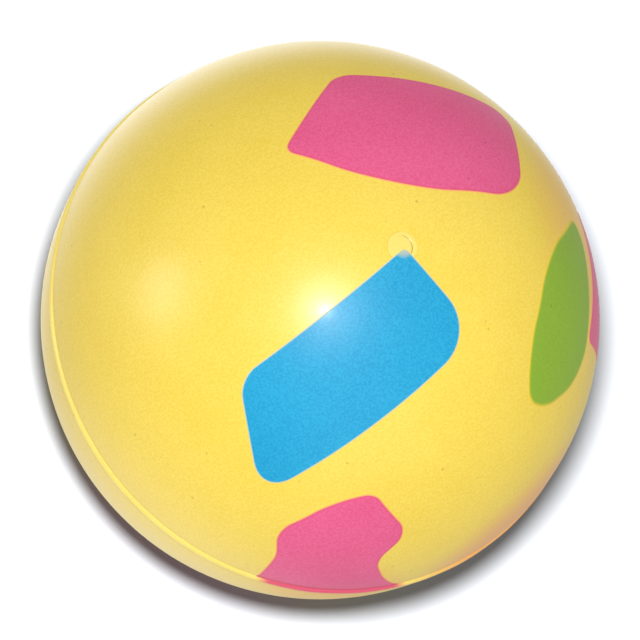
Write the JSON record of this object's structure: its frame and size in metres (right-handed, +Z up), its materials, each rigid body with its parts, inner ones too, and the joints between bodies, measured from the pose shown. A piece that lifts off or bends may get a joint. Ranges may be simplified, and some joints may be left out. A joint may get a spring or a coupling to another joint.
{
  "type": "rubber dog ball",
  "caption": "Hollow inflated rubber dog ball with a raised seam round its middle, an inflation plug at the crown and patches of coloured coating.",
  "frame": {"origin": "middle of the small flat that the ball rests on, straight below the ball's centre", "axes": "+Z up through the ball's centre and the inflation plug, square to the seam; +X and +Y level, with the patches placed by azimuth from +X"},
  "size_m": [0.0654, 0.0654, 0.0648],
  "materials": {
    "yellow_rubber": "glossy moulded rubber, yellow",
    "seam_rubber": "semi-gloss rubber cement and flash, pale yellow",
    "plug_rubber": "semi-gloss soft rubber, pale yellow",
    "blue_coat": "glossy flexible coating, sky blue",
    "green_coat": "glossy flexible coating, leaf green",
    "pink_coat": "glossy flexible coating, pink"
  },
  "bodies": {
    "root": {"upper_half_shell": "yellow_rubber", "lower_half_shell": "yellow_rubber", "seam_band": "seam_rubber", "inflation_plug": "plug_rubber", "upper_blue_patch": "blue_coat", "upper_green_patch": "green_coat", "upper_pink_crown_patch": "pink_coat", "upper_pink_seam_patch": "pink_coat", "upper_pink_side_patch": "pink_coat", "lower_blue_patch": "blue_coat", "lower_green_patch": "green_coat", "lower_pink_crown_patch": "pink_coat", "lower_pink_seam_patch": "pink_coat", "lower_pink_side_patch": "pink_coat"}
  },
  "joints": []
}
